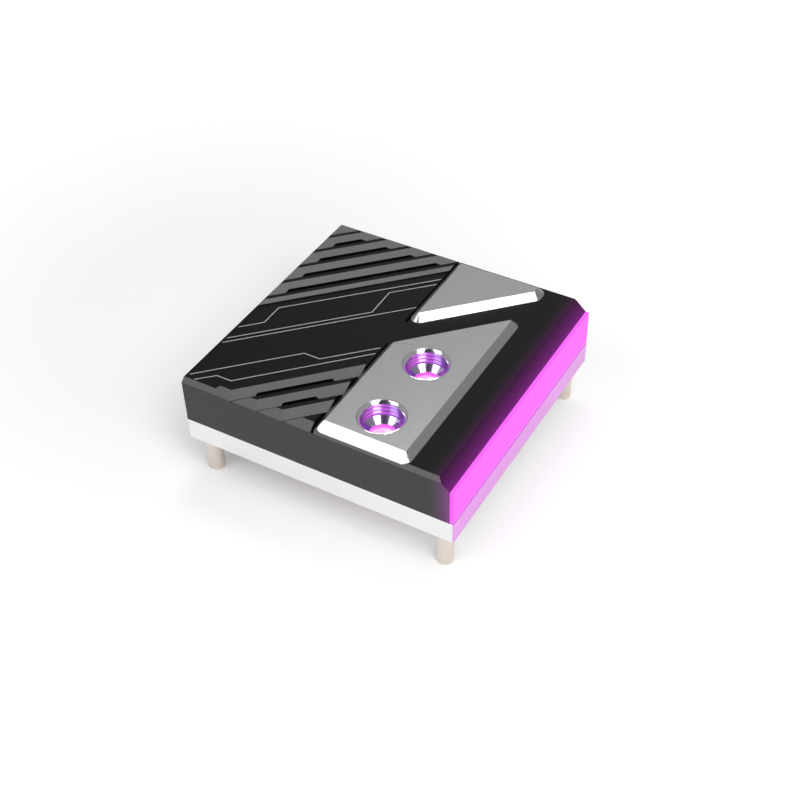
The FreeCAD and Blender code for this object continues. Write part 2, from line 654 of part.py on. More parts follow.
def build_top_cover():
    body = new_body("top_cover")
    zero = at_x("0 * {cover_width}")
    right = at_x("{cover_width}")
    front = at_y("0 * {cover_width}")
    back = at_y("{block_depth}")
    over = " + 1.0"
    louvre = ex("{louvre_rise}")
    pad(body, "block", rect_of(zero, front, right, back), COVER_Z,
        ex("{field_rise} + {louvre_rise}"))
    # level field right of the louvres
    cut_down(body, "field",
             rect_of(at_x("{louvre_end_x}"), front + " - 1.0",
                     right + over, back + over), CREST_Z, louvre)
    top = CREST_Z + " + 1.0"
    reach = ex("{block_depth} * 3")
    # flat band between the two louvre groups
    louvre_cut(body, "band", [
        (across("{upper_crest_last} - {last_rib_run}"), FIELD_Z),
        (across("{lower_crest_first}"), FIELD_Z),
        (across("{lower_crest_first}"), top),
        (across("{upper_crest_last} - {last_rib_run}"), top),
    ], reach)

    def channel(name, crest, toe, wall):
        """One slope from a crest to its toe, then level to the next wall."""
        louvre_cut(body, name, [
            (across(crest), CREST_Z), (across(toe), FIELD_Z),
            (across(wall), FIELD_Z), (across(wall), top),
            (across(crest), top),
        ], reach)

    channel("rib_corner", "{corner_rib_crest}", "{corner_rib_toe}",
            "{upper_crest_first}")
    for k in range(4):
        crest = "{upper_crest_first} - {upper_pitch} * %d" % k
        wall = "{upper_crest_first} - {upper_pitch} * %d" % (k + 1)
        channel("rib_upper_%d" % (k + 1), crest,
                crest + " - {upper_rib_run}", wall)
    louvre_cut(body, "rib_upper_5", [
        (across("{upper_crest_last}"), CREST_Z),
        (across("{upper_crest_last} - {last_rib_run}"), FIELD_Z),
        (across("{upper_crest_last} - {last_rib_run}"), top),
        (across("{upper_crest_last}"), top),
    ], reach)
    for k in range(2):
        crest = "{lower_crest_first} - {lower_pitch} * %d" % k
        wall = "{lower_crest_first} - {lower_pitch} * %d" % (k + 1)
        channel("rib_lower_%d" % (k + 1), crest,
                crest + " - {lower_rib_run}", wall)
    crest = "{lower_crest_first} - {lower_pitch} * 2"
    channel("rib_lower_3", crest, crest + " - {lower_rib_run}",
            crest + " - {lower_rib_run} - 8.0")
    # raised rim along the front edge, stepped at its left end
    pad(body, "front_rim", polygon_of([
        (at_x("{rim_start_x}"), front),
        (at_x("{louvre_end_x}"), front),
        (at_x("{louvre_end_x}"), at_y("{rim_depth}")),
        (at_x("{rim_start_x} + {rim_step}"), at_y("{rim_depth}")),
        (at_x("{rim_start_x}"), at_y("{rim_depth} - {rim_step}")),
    ]), FIELD_Z, louvre)

    # deeper slots along the foot of each louvre
    def slot(name, edge, draw_start, draw_end):
        """Slot of even width beside the offset `edge`, cut square at its
        left end x and its rear end y."""
        wide = edge + " + {slot_width}"
        cut_down(body, name, polygon_of([
            (at_x(draw_start), at_y(draw_start + " + " + edge)),
            (at_x(draw_end + " - (" + edge + ")"), at_y(draw_end)),
            (at_x(draw_end + " - (" + wide + ")"), at_y(draw_end)),
            (at_x(draw_start), at_y(draw_start + " + " + wide)),
        ]), CREST_Z, ex("{louvre_rise} + {slot_depth}"))

    for k in range(4):
        slot("slot_upper_%d" % (k + 1),
             "{upper_crest_first} - {upper_pitch} * %d - {upper_rib_run}" % k,
             "{slot_start_x}", "{slot_end_y}")
    slot("slot_lower_1", "{lower_crest_first} - {lower_rib_run}",
         "{lower_slot_1_x}", "{lower_slot_1_y}")
    slot("slot_lower_2",
         "{lower_crest_first} - {lower_pitch} - {lower_rib_run}",
         "{lower_slot_2_x}", "{lower_slot_2_y}")
    # seats for the two raised plates
    grow = "{fit_gap}"
    cut_down(body, "port_plate_seat", polygon_of(port_plate_corners(grow)),
             FIELD_Z, ex("{plate_seat_depth}"))
    cut_down(body, "accent_plate_seat",
             polygon_of(accent_plate_corners(grow)),
             FIELD_Z, ex("{plate_seat_depth}"))
    body.Tip = doc.getObject("top_cover_accent_plate_seat")
    doc.recompute()
    spots = [(number(x), number(y)) for x, y in
             port_plate_corners(grow) + accent_plate_corners(grow)]
    floor = number(SEAT_Z)

    def seat_corner(edge):
        box = edge.BoundBox
        if abs(box.ZMin - floor) > 1e-4 or box.ZLength < 1.0:
            return False
        return any(abs(box.XMin - x) < 0.01 and abs(box.YMin - y) < 0.01
                   for x, y in spots)

    names = edges_at(body.Tip.Shape, seat_corner)
    dress(body, "Fillet", "seat_corners", body.Tip, names,
          ex("{plate_corner} + {fit_gap}"))
    # trenches beside the raised plates, open at the front and at the rear
    for name, side, y0, y1 in (
            ("port_trench", "{plate_left_x}", front + " - 1.0",
             at_y("{plate_left_x} + {port_plate_edge}")),
            ("accent_trench", "{accent_left_x}",
             at_y("{accent_left_x} + {accent_edge} + {plate_corner}"),
             back + over)):
        cut_down(body, name, rect_of(
            at_x(side + " - {trench_gap}"), y0,
            at_x(side + " + {trench_overlap}"), y1),
            CREST_Z, ex("{trench_depth} + {louvre_rise}"))
    # narrow saw cuts that run each lower channel out over the front edge
    for k in range(3):
        edge = "({lower_crest_first} - {lower_pitch} * %d" \
               " - {lower_rib_run})" % k
        far = "(" + edge + " - {saw_cut_width})"
        end = "({rim_depth} + {fit_gap})"
        cut_down(body, "saw_cut_%d" % (k + 1), polygon_of([
            (at_x("-1.0 - " + edge), at_y("-1.0")),
            (at_x("-1.0 - " + far), at_y("-1.0")),
            (at_x(end + " - " + far), at_y(end)),
            (at_x(end + " - " + edge), at_y(end)),
        ]), CREST_Z, CREST_Z + " - " + COVER_Z
            + ex(" - {front_face_rise} + {saw_cut_drop}"))
    # bevelled front and rear edges, at one slope
    fall = ex("({field_rise} + {louvre_rise} - {front_face_rise})"
              " / {edge_bevel_run}")
    for name, edge, way, run in (
            ("front_bevel", front, " + ", ex("{edge_bevel_run}")),
            ("rear_bevel", back, " - ", ex("{rear_bevel_run}"))):
        out = " - " if way == " + " else " + "
        ledge = CREST_Z + " - " + fall + " * " + run
        sketch = new_sketch(body, name + "_sketch", "YZ_Plane")
        add_polygon(sketch, [
            (edge, ledge), (edge + way + run, CREST_Z),
            (edge + way + run, top), (edge + out + "1.0", top),
            (edge + out + "1.0", ledge),
        ])
        feature(body, "Pocket", name, sketch, reach, False, True)
    # wide chamfer down to the light strip
    side = new_sketch(body, "side_sketch", "XZ_Plane")
    add_polygon(side, [
        (at_x("{cover_width} - {side_chamfer_run}"), FIELD_Z),
        (right, FIELD_Z + ex(" - {side_chamfer_drop}")),
        (right + over, FIELD_Z + ex(" - {side_chamfer_drop}")),
        (right + over, top),
        (at_x("{cover_width} - {side_chamfer_run}"), top),
    ])
    feature(body, "Pocket", "side_chamfer", side, reach, False, True)
    # the louvres run out to field level at the left edge
    left = new_sketch(body, "left_sketch", "XZ_Plane")
    run = ex("{left_bevel_run}")
    add_polygon(left, [
        (zero, FIELD_Z), (zero + " + " + run, CREST_Z),
        (zero + " + " + run, top), (zero + " - 1.0", top),
        (zero + " - 1.0", FIELD_Z),
    ])
    feature(body, "Pocket", "left_bevel", left, reach, False, True)
    # cavity for the flow body
    half = ex("{cavity_half_width}")
    cut_up(body, "cavity", rect_of(
        "-" + half, at_y("{cavity_front_wall}"), half,
        at_y("{cavity_back_y}")), COVER_Z, ex("{cavity_rise}"))
    # slot that holds the lamp board behind the strip
    cut_up(body, "lamp_slot", rect_of(
        at_x("{lamp_slot_x}"), at_y("{led_board_front_y} - {lamp_slot_gap}"),
        right + over, at_y("{led_board_back_y} + {lamp_slot_gap} / 2")),
        COVER_Z, ex("{lamp_slot_top}"))
    cut_up(body, "socket_window", rect_of(
        SOCKET_X + " - {0} / 2 - 0.2".format("Sizes.socket_width"),
        at_y("{led_board_back_y} - 0.3"),
        SOCKET_X + " + {0} / 2 + 0.2".format("Sizes.socket_width"),
        back + over),
        COVER_Z, ex("{socket_height} + 0.4"))
    # holes for the ports and the screws
    cut_up(body, "port_holes", circles_of(
        PORT_SPOTS.values(), ex("{port_hole_radius}")), CEILING_Z,
        ex("{field_rise}"))
    cut_up(body, "cover_screw_holes", circles_of(
        COVER_SCREWS, ex("{m3_radius} + {fit_gap}")), COVER_Z,
        ex("{cover_screw_bite}"))
    spots = PORT_PLATE_SCREWS + ACCENT_SCREWS
    cut_up(body, "plate_screw_holes", circles_of(
        spots, ex("{m2_radius} + {fit_gap}")), CEILING_Z,
        ex("{field_rise}"))
    cut_up(body, "plate_screw_heads", circles_of(
        spots, ex("{m2_head_radius} + {fit_gap}")), CEILING_Z,
        ex("{m2_head_height}"))
    return body


# ------------------------------------------------------------------ plates
def upright(edge):
    a = edge.Vertexes[0].Point
    b = edge.Vertexes[-1].Point
    return abs(a.x - b.x) < 1e-6 and abs(a.y - b.y) < 1e-6 and \
        abs(a.z - b.z) > 1.0


def on_level(level, skip_circles=True):
    def test(edge):
        box = edge.BoundBox
        if abs(box.ZMin - level) > 1e-4 or abs(box.ZMax - level) > 1e-4:
            return False
        closed = len(edge.Vertexes) == 1
        return not (closed and skip_circles)
    return test


def raised_plate(name, corners):
    body = new_body(name)
    block = pad(body, "block", polygon_of(corners), SEAT_Z,
                ex("{plate_seat_depth} + {plate_rise}"))
    body.Tip = block
    doc.recompute()
    names = edges_at(block.Shape, upright)
    rounds = dress(body, "Fillet", "corners", block, names,
                   ex("{plate_corner}"))
    body.Tip = rounds
    doc.recompute()
    level = number(PLATE_Z)
    names = edges_at(rounds.Shape, on_level(level))
    bevel = dress(body, "Chamfer", "bevel", rounds, names,
                  ex("{plate_bevel}"))
    body.Tip = bevel
    doc.recompute()
    return body


def build_port_plate():
    body = raised_plate("port_plate", port_plate_corners("0 * {fit_gap}"))
    # the front bevel reaches on down to the cover's own bevelled edge
    front = at_y("{port_plate_front_y}")
    drop = ex("{plate_bevel} + {front_bevel_extra} * 1.4142")
    sketch = new_sketch(body, "front_sketch", "YZ_Plane")
    add_polygon(sketch, [
        (front, PLATE_Z + " - (" + drop + ")"),
        (front + " + " + drop, PLATE_Z),
        (front + " + " + drop, PLATE_Z + " + 1.0"),
        (front + " - 1.0", PLATE_Z + " + 1.0"),
        (front + " - 1.0", PLATE_Z + " - (" + drop + ")"),
    ])
    feature(body, "Pocket", "front_bevel", sketch,
            ex("{block_depth} * 3"), False, True)
    cut_up(body, "port_holes", circles_of(
        PORT_SPOTS.values(), ex("{port_hole_radius}")), SEAT_Z,
        ex("{plate_seat_depth} + {plate_rise} + 1.0"))
    cut_up(body, "screw_holes", circles_of(
        PORT_PLATE_SCREWS, ex("{m2_radius} + {fit_gap}")), SEAT_Z,
        ex("{plate_screw_bite}"))
    return body


def build_accent_plate():
    body = raised_plate("accent_plate",
                        accent_plate_corners("0 * {fit_gap}"))
    cut_up(body, "screw_holes", circles_of(
        ACCENT_SCREWS, ex("{m2_radius} + {fit_gap}")), SEAT_Z,
        ex("{plate_screw_bite}"))
    return body


# ------------------------------------------------------------------ lighting
STRIP_TOP = FIELD_Z + ex(" - {side_chamfer_drop}")
BOARD_Z = COVER_Z + ex(" + 1.6")
BOARD_X = at_x("{lamp_slot_x} + {fit_gap}")


def build_light_strip():
    """Bar over the whole side, with a tongue through the cover's wall."""
    body = new_body("light_strip")
    low = COVER_Z + ex(" + {strip_gap}")
    side = at_x("{cover_width}")
    pad(body, "bar", rect_of(side, at_y("0 * {block_depth}"), HALF_W,
                             at_y("{block_depth}")), low,
        ex("{field_rise} - {side_chamfer_drop} - {strip_gap}"))
    inner = at_x("{block_width} - {strip_thickness}")
    pad(body, "tongue", rect_of(
        inner, at_y("{led_board_front_y} - {lamp_slot_gap} + {fit_gap}"),
        side + " + {0} / 2".format("Sizes.strip_proud"),
        at_y("{led_board_back_y} + {lamp_slot_gap} / 2 - {fit_gap}")), low,
        ex("{lamp_slot_top} - {strip_gap} - {fit_gap}"))
    return body


def build_led_board():
    body = new_body("led_board")
    pad(body, "board", rect_of(
        BOARD_X, at_y("{led_board_front_y}"),
        BOARD_X + ex(" + {led_board_thickness}"),
        at_y("{led_board_back_y}")), BOARD_Z, ex("{led_board_height}"))
    return body


def build_led_chips():
    body = new_body("led_chips")
    first = at_y("{led_board_front_y} + {led_end_margin}")
    half = ex("{led_size} / 2")
    face = BOARD_X + ex(" + {led_board_thickness}")
    low = BOARD_Z + ex(" + {led_board_height} / 2 - {led_size} / 2")
    sketch = new_sketch(body, "chip_sketch", "XY_Plane", low)
    for k in range(int(size("led_count"))):
        centre = first + ex(" + {led_pitch} * %d" % k)
        add_rectangle(sketch, face, centre + " - " + half,
                      face + ex(" + {led_height}"), centre + " + " + half)
    body.AllowCompound = True
    feature(body, "Pad", "chips", sketch, ex("{led_size}"))
    return body


def build_led_socket():
    """Small header at the rear end of the lamp board, open to the rear."""
    body = new_body("led_socket")
    near = at_y("{led_board_back_y}")
    half = ex("{socket_width} / 2")
    low = COVER_Z + ex(" + {fit_gap}")
    pad(body, "shell", rect_of(
        SOCKET_X + " - " + half, near, SOCKET_X + " + " + half,
        near + ex(" + {socket_length}")), low, ex("{socket_height}"))
    wall = ex("{socket_wall}")
    cut_up(body, "throat", rect_of(
        SOCKET_X + " - " + half + " + " + wall, near + " + 1.2",
        SOCKET_X + " + " + half + " - " + wall,
        near + ex(" + {socket_length} + 1.0")), low + " + " + wall,
        ex("{socket_height} - 2 * {socket_wall}"))
    pins = new_sketch(body, "pin_sketch", "XY_Plane",
                      COVER_Z + ex(" + {socket_height} / 2 - 0.2"))
    for k in (-1, 0, 1):
        x = SOCKET_X + ex(" + {socket_width} / 4 * %d" % k)
        add_rectangle(pins, x + " - 0.2", near + " + 1.0",
                      x + " + 0.2", near + " + 5.0")
    feature(body, "Pad", "pins", pins, ex("0.1 * {socket_height}"))
    return body


# ------------------------------------------------------------------ fasteners
def build_screws(name, spots, radius, head, head_height, low, length,
                 drive=True):
    """Flat-headed screws put in from below, head level with `low`."""
    body = new_body(name)
    body.AllowCompound = True
    pad(body, "heads", circles_of(spots, head), low, head_height)
    pad(body, "shanks", circles_of(spots, radius), low, length)
    if not drive:
        return body
    # hexagon drive
    sketch = new_sketch(body, "drive_sketch", "XY_Plane", low)
    for x, y in spots:
        ring = []
        for cx, cy in ((1, 0), (0.5, 0.866), (-0.5, 0.866), (-1, 0),
                       (-0.5, -0.866), (0.5, -0.866)):
            ring.append((x + " + " + radius + " * %g" % (0.8 * cx),
                         y + " + " + radius + " * %g" % (0.8 * cy)))
        add_polygon(sketch, ring)
    feature(body, "Pocket", "drive", sketch, head_height + " * 0.7", True)
    return body


build_mounting_frame()
for place in ("front_left", "front_right", "rear_left", "rear_right"):
    build_standoff(place, LEG_SPOTS[place])
build_cold_plate()
build_cold_plate_seal()
build_jet_plate()
build_jet_gasket()
build_flow_body()
build_flow_plug()
build_port("inlet_port", PORT_SPOTS["inlet"])
build_port("outlet_port", PORT_SPOTS["outlet"])
build_port_seal("inlet_port_seal", PORT_SPOTS["inlet"])
build_port_seal("outlet_port_seal", PORT_SPOTS["outlet"])
build_top_cover()
build_port_plate()
build_accent_plate()
build_light_strip()
build_led_board()
build_led_chips()
build_led_socket()
build_screws("cover_screws", COVER_SCREWS, ex("{m3_radius}"),
             ex("{m3_head_radius}"), ex("{m3_head_height}"), FRAME_Z,
             ex("{frame_thickness} + {cover_screw_bite} - {screw_end_gap}"))
build_screws("cold_plate_screws", FLANGE_SCREWS, ex("{m3_radius}"),
             ex("{m3_head_radius}"), ex("{m3_head_height}"), FRAME_Z,
             ex("{frame_thickness} + {flange_screw_bite} - {screw_end_gap}"))
LONG = ex("{field_rise} - {plate_seat_depth} - {cavity_rise}"
          " + {plate_screw_bite} - {screw_end_gap}")
build_screws("port_plate_screws", PORT_PLATE_SCREWS, ex("{m2_radius}"),
             ex("{m2_head_radius}"), ex("{m2_head_height}"), CEILING_Z, LONG,
             False)
build_screws("accent_plate_screws", ACCENT_SCREWS, ex("{m2_radius}"),
             ex("{m2_head_radius}"), ex("{m2_head_height}"), CEILING_Z, LONG,
             False)
doc.recompute()

# ------------------------------------------------------------------ checks
for item in doc.Objects:
    if "Invalid" in item.State or "Error" in item.State:
        raise RuntimeError("not built: " + item.Name + " " + str(item.State))
for label, body in EXPORT:
    shape = body.Shape
    if shape.isNull() or not shape.isValid():
        raise RuntimeError("bad shape: " + label)
    shape.exportStep("parts/" + label + ".step")
    box = shape.BoundBox
    print("%-22s %2d solids %9.1f mm3  %7.2f %7.2f %7.2f | %6.2f %6.2f %6.2f"
          % (label, len(shape.Solids), shape.Volume, box.XMin, box.YMin,
             box.ZMin, box.XMax, box.YMax, box.ZMax))
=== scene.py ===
import math

import bpy
from mathutils import Matrix, Vector


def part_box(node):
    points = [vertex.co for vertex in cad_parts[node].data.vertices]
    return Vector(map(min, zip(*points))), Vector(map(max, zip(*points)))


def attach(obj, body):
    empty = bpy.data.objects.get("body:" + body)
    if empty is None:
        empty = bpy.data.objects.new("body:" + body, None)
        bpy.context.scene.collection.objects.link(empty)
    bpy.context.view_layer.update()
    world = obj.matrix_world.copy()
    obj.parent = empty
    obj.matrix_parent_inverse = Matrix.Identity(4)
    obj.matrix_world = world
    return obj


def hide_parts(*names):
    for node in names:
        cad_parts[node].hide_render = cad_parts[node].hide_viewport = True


# Looks for a square processor cooling block: black louvred cover, two raised
# silver plates, two threaded ports, a lit edge strip and round standoffs.
# Metres throughout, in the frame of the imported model.

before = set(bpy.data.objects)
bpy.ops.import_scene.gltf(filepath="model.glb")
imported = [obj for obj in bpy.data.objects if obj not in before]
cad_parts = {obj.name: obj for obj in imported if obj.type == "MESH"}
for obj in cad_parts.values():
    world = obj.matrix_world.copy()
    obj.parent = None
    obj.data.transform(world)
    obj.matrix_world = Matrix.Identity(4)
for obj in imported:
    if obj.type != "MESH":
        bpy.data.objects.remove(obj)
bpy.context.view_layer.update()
MM = 0.001

# ---------------------------------------------------------------- places
COVER_LOW, COVER_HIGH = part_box("top_cover")
FRAME_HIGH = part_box("mounting_frame")[1]
STRIP_LOW, STRIP_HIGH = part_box("light_strip")
PLATE_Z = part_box("port_plate")[1].z
FIELD_Z = FRAME_HIGH.z + 15.3 * MM     # the cover's flat field
CREST_Z = FIELD_Z + 0.7 * MM           # crests of the louvres
LAND_Z = CREST_Z + 0.01 * MM           # flat lands between the front grooves
EDGE_Z = FRAME_HIGH.z + 14.20 * MM     # foot of the cover's front bevel
GROOVE_Z = FRAME_HIGH.z + 14.23 * MM   # bottoms of the front grooves
BEVEL_RUN = 2.45                       # the front bevel's depth in plan, mm


def at(x, y, z=FIELD_Z):
    """A point from the cover's left and front faces, both in millimetres."""
    return Vector((COVER_LOW.x + x * MM, COVER_LOW.y + y * MM, z))


# ---------------------------------------------------------------- shading
BLACK = (0.0, 0.0, 0.0)
WHITE = (1.0, 1.0, 1.0)


class Value:
    """A shader socket that can be used in ordinary sums."""

    def __init__(self, shading, socket):
        self.shading = shading
        self.socket = socket

    def _sum(self, operation, a, b=None):
        inputs = {0: a}
        if b is not None:
            inputs[1] = b
        return self.shading.node(
            "ShaderNodeMath", {"operation": operation}, inputs)

    def __add__(self, other):
        return self._sum("ADD", self, other)

    __radd__ = __add__

    def __sub__(self, other):
        return self._sum("SUBTRACT", self, other)

    def __rsub__(self, other):
        return self._sum("SUBTRACT", other, self)

    def __mul__(self, other):
        return self._sum("MULTIPLY", self, other)

    __rmul__ = __mul__

    def __truediv__(self, other):
        return self._sum("DIVIDE", self, other)

    def __pow__(self, other):
        return self._sum("POWER", self, other)

    def __abs__(self):
        return self._sum("ABSOLUTE", self)


class Shading:
    """A node tree. Sums come from Value and all other nodes from node."""

    MIX_FACTOR, MIX_A, MIX_B, MIX_OUT = 0, 6, 7, 2   # a Mix node's colours

    def __init__(self, tree):
        self.tree = tree
        self.tree.nodes.clear()

    def feed(self, socket, what):
        if isinstance(what, Value):
            self.tree.links.new(what.socket, socket)
        elif isinstance(what, tuple) and socket.type == "RGBA":
            socket.default_value = (*what, 1.0)
        else:
            socket.default_value = what

    def node(self, kind, settings=None, inputs=None, out=0):
        """Adds a node: settings first, then its inputs; gives one output."""
        made = self.tree.nodes.new(kind)
        for name, setting in (settings or {}).items():
            setattr(made, name, setting)
        for name, what in (inputs or {}).items():
            self.feed(made.inputs[name], what)
        return Value(self, made.outputs[out]) if made.outputs else None

    def place(self):
        return self.node("ShaderNodeTexCoord", out="Object")

    def parts(self, vector):
        split = self.node("ShaderNodeSeparateXYZ", None, {0: vector})
        return [Value(self, out) for out in split.socket.node.outputs]

    def larger(self, a, b):
        return self.node("ShaderNodeMath", {"operation": "MAXIMUM"},
                         {0: a, 1: b})

    def ray(self, kind):
        return self.node("ShaderNodeLightPath", out=kind)

    def noise(self, scale, detail=2.0, stretch=None):
        where = self.place()
        if stretch:
            where = self.node("ShaderNodeMapping", None,
                              {"Vector": where, "Scale": stretch})
        return self.node("ShaderNodeTexNoise", None,
                         {"Vector": where, "Scale": scale, "Detail": detail})

    def ramp(self, value, low, high, a=0.0, b=1.0):
        """Straight change from a to b as value goes from low to high."""
        return self.node("ShaderNodeMapRange", {"clamp": True}, {
            "Value": value, "From Min": low, "From Max": high,
            "To Min": a, "To Max": b})

    def mix(self, factor, a, b):
        made = self.tree.nodes.new("ShaderNodeMix")
        made.data_type = "RGBA"
        self.feed(made.inputs[self.MIX_FACTOR], factor)
        self.feed(made.inputs[self.MIX_A], a)
        self.feed(made.inputs[self.MIX_B], b)
        return Value(self, made.outputs[self.MIX_OUT])


class Finish(Shading):
    """One material: a principled surface and the nodes before it."""

    NOISE_LOW, NOISE_HIGH = 0.3, 0.7   # the span in which a noise varies

    def __init__(self, name, colour, roughness, metallic=0.0, **fixed):
        self.material = bpy.data.materials.new(name)
        self.material.use_nodes = True
        super().__init__(self.material.node_tree)
        self.output = self.tree.nodes.new("ShaderNodeOutputMaterial")
        self.surface = self.node("ShaderNodeBsdfPrincipled")
        self.feed(self.output.inputs[0], self.surface)
        self.put("Base Color", colour)
        self.put("Roughness", roughness)
        self.put("Metallic", metallic)
        for socket, number in fixed.items():
            self.put(socket.replace("_", " "), number)

    def put(self, socket, what):
        self.feed(self.surface.socket.node.inputs[socket], what)

    def spread(self, noise, low, high):
        """Follows a noise from low to high."""
        return self.ramp(noise, self.NOISE_LOW, self.NOISE_HIGH, low, high)

    def glow(self, colour):
        self.put("Emission Color", colour)
        self.put("Emission Strength", 1.0)

    def bump(self, height, strength, distance):
        self.put("Normal", self.node("ShaderNodeBump", None, {
            "Height": height, "Strength": strength, "Distance": distance}))


def tinted(colour, amount):
    return tuple(min(1.0, part * amount) for part in colour)


def paint(thing, finish):
    thing.data.materials.clear()
    thing.data.materials.append(finish.material)


# ---------------------------------------------------------------- finishes
# noise scales count the features in a metre
BLAST_GRAIN = 9000.0
PAINTED_GLOW_WIDTH = 9.0 * MM    # how far the painted glow of the strip's light reaches over the cover
# the blacks of the cover, each from dark grain to pale grain; the wall, steep
# and shallow blacks are painted paler, a painted highlight
TOP_BLACK = ((0.0025, 0.0025, 0.0027), (0.0045, 0.0045, 0.0048))
PAINTED_LIT_WALL_BLACK = ((0.040, 0.040, 0.041), (0.050, 0.050, 0.051))
PAINTED_LIT_STEEP_BLACK = ((0.084, 0.084, 0.085), (0.100, 0.100, 0.101))
PAINTED_LIT_SHALLOW_BLACK = ((0.118, 0.118, 0.119), (0.134, 0.134, 0.135))


def cover_finish():
    """Black anodised aluminium, fine bead blast, with the strip's light
    painted on as a soft glow.
    The walls and the slopes that face forward are painted a little paler, a
    painted highlight where light falls on them."""
    f = Finish("black_anodised", (0.003, 0.003, 0.003), 0.3,
               Specular_IOR_Level=0.22)
    grain = f.noise(BLAST_GRAIN)
    drift = f.noise(60.0)
    f.put("Roughness", f.spread(grain * 0.6 + drift * 0.4, 0.25, 0.31))
    x, y, z = f.parts(f.place())
    normal = f.node("ShaderNodeNewGeometry", out="Normal")
    normal_x, normal_y, normal_z = f.parts(normal)
    to_front = 0.0 - normal_y
    upward = abs(normal_z)
    # the outer walls: upright, and within half a millimetre of the outline,
    # painted paler as a painted highlight
    middle = (COVER_LOW + COVER_HIGH) / 2.0
    half = (COVER_HIGH.x - COVER_LOW.x) / 2.0
    outward = f.larger(abs(x - middle.x), abs(y - middle.y))
    outer = f.ramp(outward, half - 0.7 * MM, half - 0.5 * MM)
    outer = outer * (1.0 - f.ramp(upward, 0.2, 0.4))
    # painted highlight: faces that slope forward are painted paler than the
    # top
    slope = f.mix(f.ramp(to_front, 0.15, 0.30),
                  f.mix(grain, *PAINTED_LIT_SHALLOW_BLACK), f.mix(grain, *PAINTED_LIT_STEEP_BLACK))
    painted_slope_mask = f.ramp(to_front, 0.05, 0.10) * f.ramp(upward, 0.3, 0.6)
    colour = f.mix(painted_slope_mask, f.mix(grain, *TOP_BLACK), slope)
    f.put("Base Color", f.mix(outer, colour, f.mix(grain, *PAINTED_LIT_WALL_BLACK)))
    f.bump(grain, 0.06, 0.02 * MM)
    # painted glow: the strip's light painted on as emission near the cover's
    # right edge
    near = f.ramp(x, COVER_HIGH.x - PAINTED_GLOW_WIDTH, COVER_HIGH.x) ** 3.0
    f.glow(f.mix(near, BLACK, (0.175, 0.010, 0.18)))
    return f


def blasted_finish(name, colour, low, high):
    f = Finish(name, colour, 0.4, 1.0)
    grain = f.noise(7000.0)
    drift = f.noise(45.0)
    f.put("Roughness", f.spread(grain, low, high))
    f.put("Base Color", f.mix(drift * 0.5 + grain * 0.5,
                              tinted(colour, 0.93), tinted(colour, 1.05)))
    f.bump(grain, 0.12, 0.02 * MM)
    return f


def brushed_finish(name, colour, low, high, stretch):
    f = Finish(name, colour, 0.3, 1.0)
    grain = f.noise(900.0, 3.0, stretch)
    f.put("Roughness", f.spread(grain, low, high))
    f.put("Base Color", f.mix(grain, tinted(colour, 0.94), colour))
    f.bump(grain, 0.08, 0.03 * MM)
    return f


def frame_finish():
    """Satin nickel band; the side under the strip is painted pink, a painted
    reflection of the strip's glow.
    """
    colour, stretch = (0.88, 0.88, 0.89), (1.0, 1.0, 20.0)
    f = brushed_finish("satin_nickel", colour, 0.26, 0.36, stretch)
    plain = f.mix(f.noise(900.0, 3.0, stretch), tinted(colour, 0.94), colour)
    x = f.parts(f.place())[0]
    # painted reflection: the strip's pink glow painted into the base colour of
    # the side under it
    side = f.ramp(x, FRAME_HIGH.x - 0.5 * MM, FRAME_HIGH.x - 0.05 * MM)
    f.put("Base Color", f.mix(side, plain, (0.78, 0.34, 0.81)))
    return f


def turned_finish(name, colour, low, high):
    """Metal turned on a lathe: fine rings across the height."""
    f = Finish(name, colour, 0.3, 1.0)
    rings = f.noise(1.0, 1.0, (30.0, 30.0, 9000.0))
    patch = f.noise(500.0)
    f.put("Roughness", f.spread(rings * 0.5 + patch * 0.5, low, high))
    f.put("Base Color", f.mix(patch, tinted(colour, 0.88), colour))
    f.bump(rings, 0.15, 0.02 * MM)
    return f


def port_finish(name, centre, top):
    """Polished nickel with painted light: a painted pink glow, for light from
    below, on the far thread turns and the narrow bore under them, and painted
    shade darkening them. Depths are in millimetres."""
    bright = (0.86, 0.86, 0.88)
    reach = 6.0 * MM
    f = Finish(name, bright, 0.07, 1.0)
    patch = f.noise(500.0)
    x, y, z = f.parts(f.place())
    drop = (top - z) / MM
    across = (x - centre.x) / reach
    far = across * -0.51 + (y - centre.y) / reach * 0.86
    below_thread = f.ramp(drop, 4.7, 4.85)
    thread = f.ramp(drop, 0.85, 1.0) * (1.0 - below_thread)
    bore = f.ramp(drop, 6.5, 6.6)
    radius = ((x - centre.x) ** 2.0 + (y - centre.y) ** 2.0) ** 0.5 / MM
    # painted glow on the thread, stronger on the far side and on the crests
    # than in the roots
    lit = thread * f.ramp(far, 0.20, 0.90)
    lit = lit * f.ramp(radius, 5.8, 6.25, 1.0, 0.35)
    hue = f.mix(f.ramp(across, -0.75, 0.35), (0.70, 0.13, 0.85),
                (0.30, 0.035, 0.62))
    light = f.mix(lit, (0.020, 0.010, 0.030), hue)
    light = f.mix(below_thread, light, (0.035, 0.018, 0.060))
    # painted glow deep in the bore, pink paling lower down
    painted_bore_glow = f.mix(f.ramp(drop, 7.3, 8.2), (0.80, 0.11, 0.76),
                 (0.92, 0.36, 0.90))
    f.glow(f.mix(bore, light, painted_bore_glow))
    # painted shade: the base colour darker on the thread, under it and in the
    # bore
    shade = f.mix(thread, bright, (0.17, 0.12, 0.24))
    shade = f.mix(below_thread, shade, (0.50, 0.46, 0.58))
    f.put("Base Color", f.mix(bore, shade, (0.14, 0.05, 0.14)))
    f.put("Roughness", f.spread(patch, 0.05, 0.10) + thread * 0.12
          + below_thread * 0.06)
    return f


